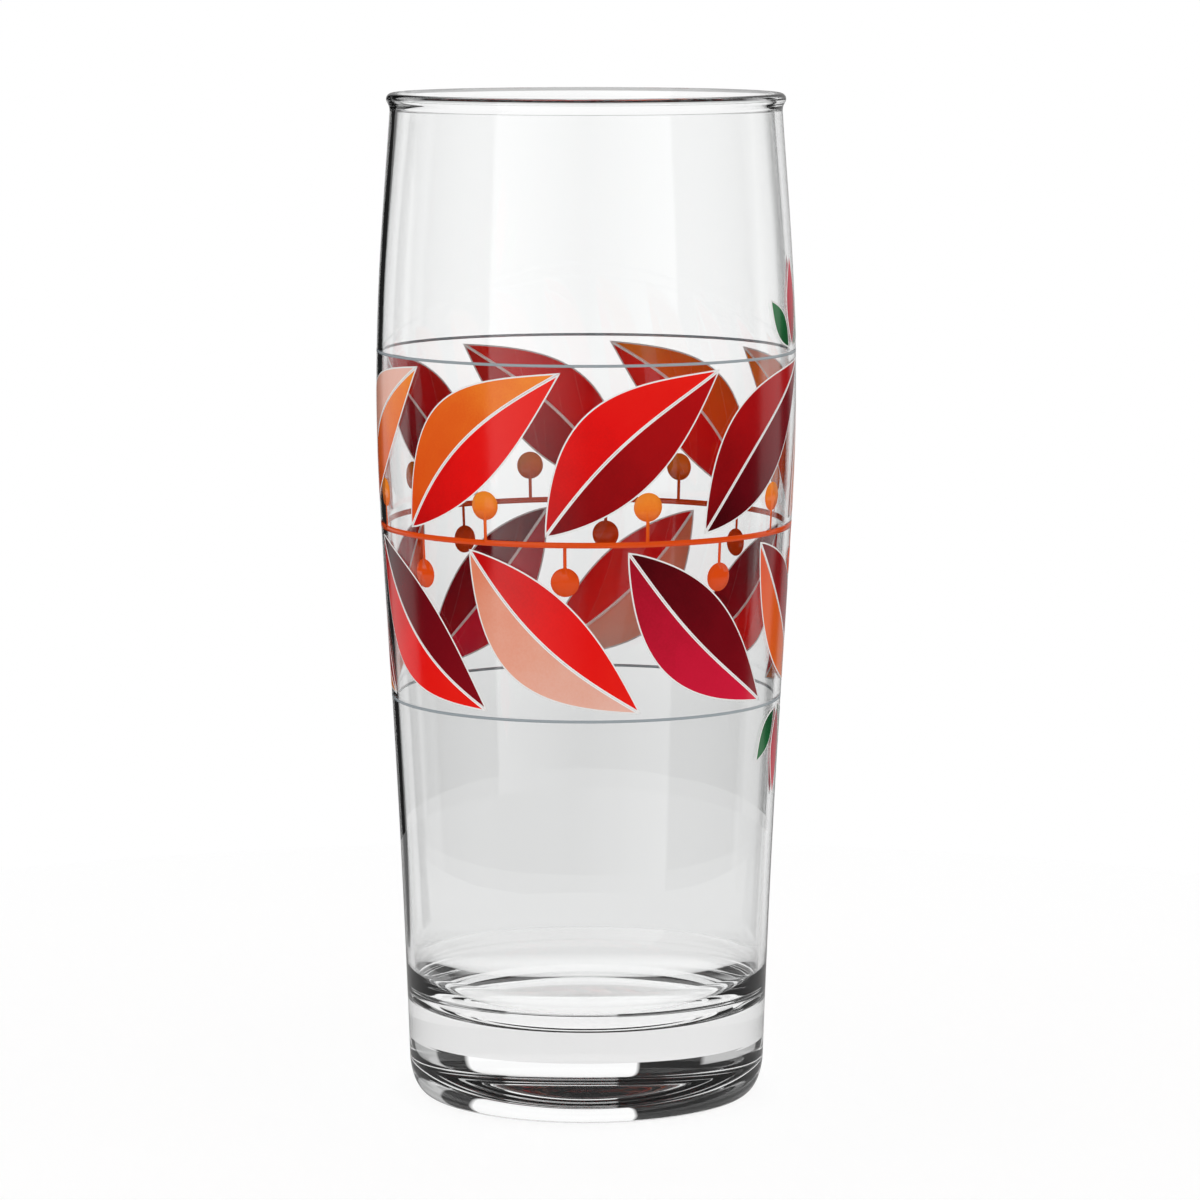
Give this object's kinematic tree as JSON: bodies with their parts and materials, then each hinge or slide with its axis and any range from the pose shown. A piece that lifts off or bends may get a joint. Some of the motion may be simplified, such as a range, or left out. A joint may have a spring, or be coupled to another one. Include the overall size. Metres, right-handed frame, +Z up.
{
  "type": "beer glass",
  "caption": "Tall tapered beer tumbler in clear glass with a rounded belly, a beaded lip and a thick heavy base, printed round the belly with a laurel wreath in red, orange and peach inks",
  "frame": {"origin": "middle of the foot, on the surface that the glass stands on", "axes": "+Z up out of the mouth along the glass's own axis, +X to the right and +Y away as the picture shows it"},
  "size_m": [0.0748, 0.0748, 0.1775],
  "materials": {
    "clear_glass": "clear, fire-polished",
    "ink_scarlet": "opaque glossy printing ink",
    "ink_ruby": "opaque glossy printing ink",
    "ink_burgundy": "opaque glossy printing ink",
    "ink_crimson": "opaque glossy printing ink",
    "ink_orange": "opaque glossy printing ink",
    "ink_peach": "opaque glossy printing ink",
    "ink_green": "opaque glossy printing ink",
    "ink_silver": "opaque glossy printing ink"
  },
  "bodies": {
    "root": {"border_lower": "ink_silver", "border_upper": "ink_silver", "glass_tumbler": "clear_glass", "leaf_lower_01_dark": "ink_burgundy", "leaf_lower_01_light": "ink_crimson", "leaf_lower_02_dark": "ink_ruby", "leaf_lower_02_light": "ink_orange", "leaf_lower_03_dark": "ink_burgundy", "leaf_lower_03_light": "ink_scarlet", "leaf_lower_04_dark": "ink_scarlet", "leaf_lower_04_light": "ink_peach", "leaf_lower_05_dark": "ink_burgundy", "leaf_lower_05_light": "ink_crimson", "leaf_lower_06_dark": "ink_ruby", "leaf_lower_06_light": "ink_orange", "leaf_lower_07_dark": "ink_burgundy", "leaf_lower_07_light": "ink_scarlet", "leaf_lower_08_dark": "ink_scarlet", "leaf_lower_08_light": "ink_peach", "leaf_upper_01_dark": "ink_ruby", "leaf_upper_01_light": "ink_scarlet", "leaf_upper_02_dark": "ink_burgundy", "leaf_upper_02_light": "ink_ruby", "leaf_upper_03_dark": "ink_orange", "leaf_upper_03_light": "ink_peach", "leaf_upper_04_dark": "ink_scarlet", "leaf_upper_04_light": "ink_orange", "leaf_upper_05_dark": "ink_ruby", "leaf_upper_05_light": "ink_scarlet", "leaf_upper_06_dark": "ink_burgundy", "leaf_upper_06_light": "ink_ruby", "leaf_upper_07_dark": "ink_orange", "leaf_upper_07_light": "ink_peach", "leaf_upper_08_dark": "ink_scarlet", "leaf_upper_08_light": "ink_orange", "sprig_bottom_left": "ink_green", "sprig_bottom_middle": "ink_crimson", "sprig_bottom_right": "ink_green", "sprig_top_left": "ink_green", "sprig_top_middle": "ink_crimson", "sprig_top_right": "ink_green", "wreath_stem": "ink_orange"}
  },
  "joints": []
}
